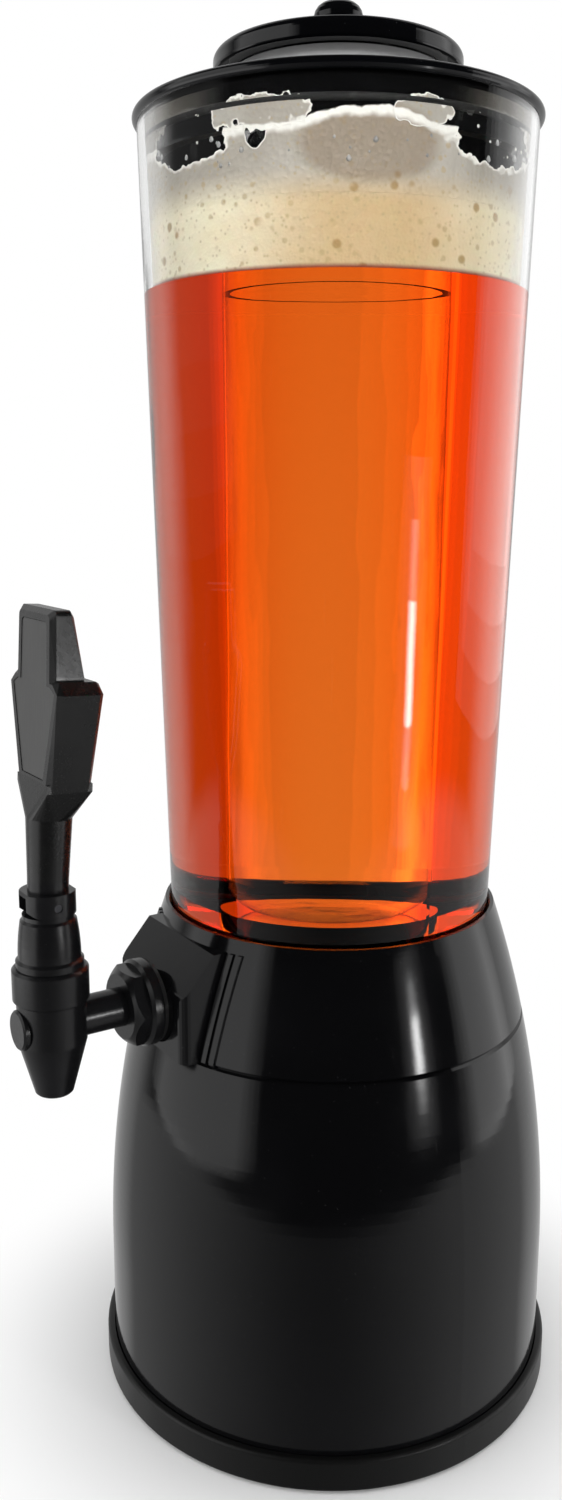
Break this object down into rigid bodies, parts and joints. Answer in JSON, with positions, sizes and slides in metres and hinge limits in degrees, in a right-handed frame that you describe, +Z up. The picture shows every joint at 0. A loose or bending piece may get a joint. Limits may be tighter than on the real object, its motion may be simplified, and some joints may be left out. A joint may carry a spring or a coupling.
{
  "type": "beer tower dispenser",
  "caption": "Table-top beer tower: clear tapered tank on a black bell base with a lever tap, a black lid and a central ice tube with its own cap.",
  "frame": {"origin": "on the tower's axis at the underside of the rubber mat, where it stands on the table", "axes": "+Z up along the tower's axis; the tap, its spout and its handle point along -Y; +X to the right of someone who faces the back of the tap along +Y"},
  "size_m": [0.16, 0.1952, 0.4526],
  "materials": {
    "bell_black": "high gloss moulded black",
    "foot_black": "fine satin black",
    "lid_black": "gloss black",
    "clear_tank": "clear polished",
    "clear_tube": "clear polished",
    "tap_black": "semi gloss moulded black",
    "handle_black": "semi gloss moulded black",
    "panel_grey": "satin grey, bare",
    "rubber_black": "matt",
    "silicone": "translucent milky",
    "nylon": "natural nylon",
    "steel": "bright",
    "dark_steel": "blackened"
  },
  "bodies": {
    "base": {"base_mat": "rubber_black", "base_plate": "foot_black", "base_screws": "steel", "skirt": "bell_black", "reservoir_screws": "steel", "upper_shell": "bell_black", "reservoir": "bell_black", "tap_body": "tap_black", "end_plug": "tap_black", "outer_gasket": "rubber_black", "shank_nut": "tap_black", "inner_gasket": "rubber_black", "lock_nut": "nylon", "spring": "steel", "stem_seal": "rubber_black", "bonnet": "tap_black", "heel_washer": "tap_black"},
    "stem": {"stem": "steel", "valve_cup": "silicone"},
    "handle": {"lever_cam": "tap_black", "pivot_pin": "dark_steel", "handle": "handle_black", "handle_panel": "panel_grey"},
    "tank": {"tank": "clear_tank", "tank_seal": "silicone"},
    "lid": {"lid": "lid_black", "lid_seal": "silicone", "ice_tube_seal": "silicone"},
    "ice_tube": {"ice_tube": "clear_tube"},
    "ice_cap": {"ice_cap": "lid_black"}
  },
  "joints": [
    {"name": "stem_lift", "type": "slide", "parent": "base", "child": "stem", "axis": [0, 0, 1], "range_m": [0, 0.003], "deforming": ["spring"]},
    {"name": "handle_tilt", "type": "hinge", "parent": "stem", "child": "handle", "pos_m": [0, -0.1035, 0.1873], "axis": [1, 0, 0], "range_deg": [0, 40], "stiffness_Nm_per_rad": 0.1, "springref_deg": -28.65},
    {"name": "tank_lift", "type": "slide", "parent": "base", "child": "tank", "axis": [0, 0, 1], "range_m": [0, 0.03]},
    {"name": "lid_lift", "type": "slide", "parent": "tank", "child": "lid", "axis": [0, 0, 1], "range_m": [0, 0.25]},
    {"name": "tube_lift", "type": "slide", "parent": "lid", "child": "ice_tube", "axis": [0, 0, 1], "range_m": [0, 0.25]},
    {"name": "cap_lift", "type": "slide", "parent": "ice_tube", "child": "ice_cap", "axis": [0, 0, 1], "range_m": [0, 0.02]}
  ],
  "couplings": [
    {"joint": "stem_lift", "follows": "handle_tilt", "m_per_rad": 0.0042971}
  ]
}
